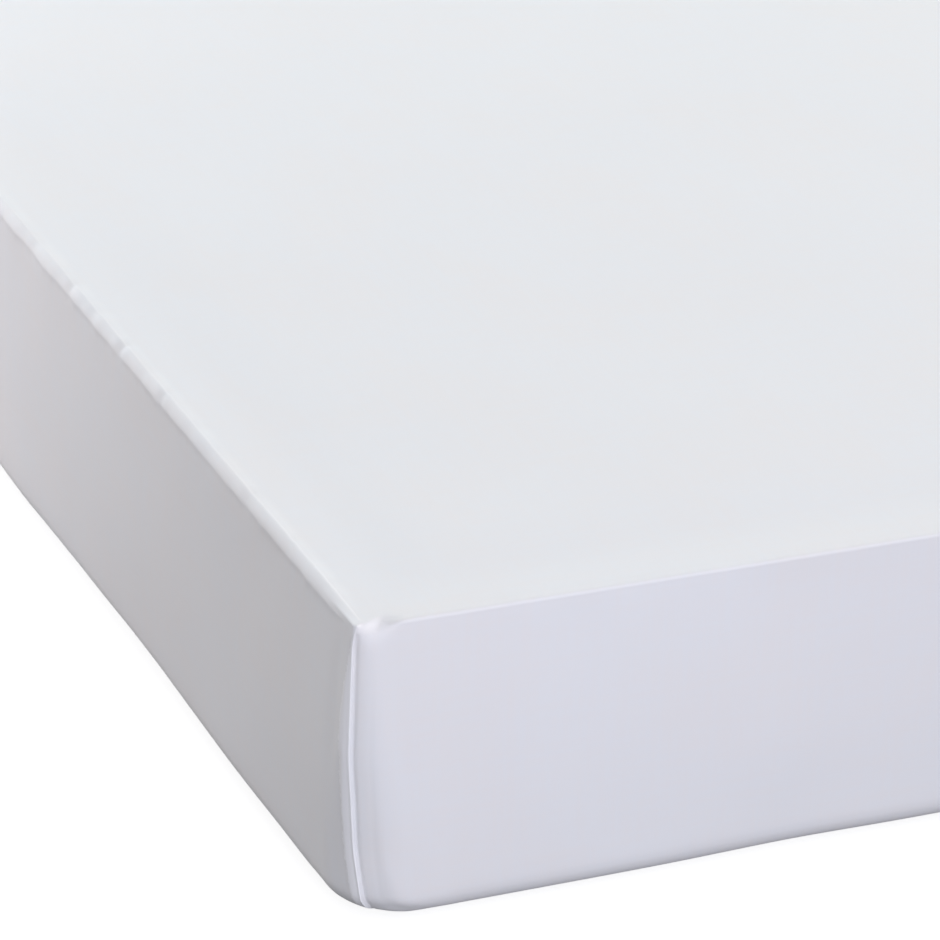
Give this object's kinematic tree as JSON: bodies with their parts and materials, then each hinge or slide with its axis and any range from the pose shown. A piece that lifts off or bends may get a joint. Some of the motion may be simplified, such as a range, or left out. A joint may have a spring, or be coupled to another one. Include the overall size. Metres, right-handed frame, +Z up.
{
  "type": "waterproof mattress protector on mattress",
  "caption": "Fitted cloth cover with sewn box corners and an elastic hem, pulled over a plain mattress to keep liquid out of it.",
  "frame": {"origin": "on the floor, under the middle of the mattress's footprint", "axes": "+Z up, +Y along the mattress, +X across it, and the short front face looks along -Y"},
  "size_m": [0.912, 1.912, 0.2077],
  "materials": {
    "white_cloth": "matte",
    "ticking": "matte"
  },
  "bodies": {
    "root": {"protector": "white_cloth", "mattress": "ticking"}
  },
  "joints": []
}
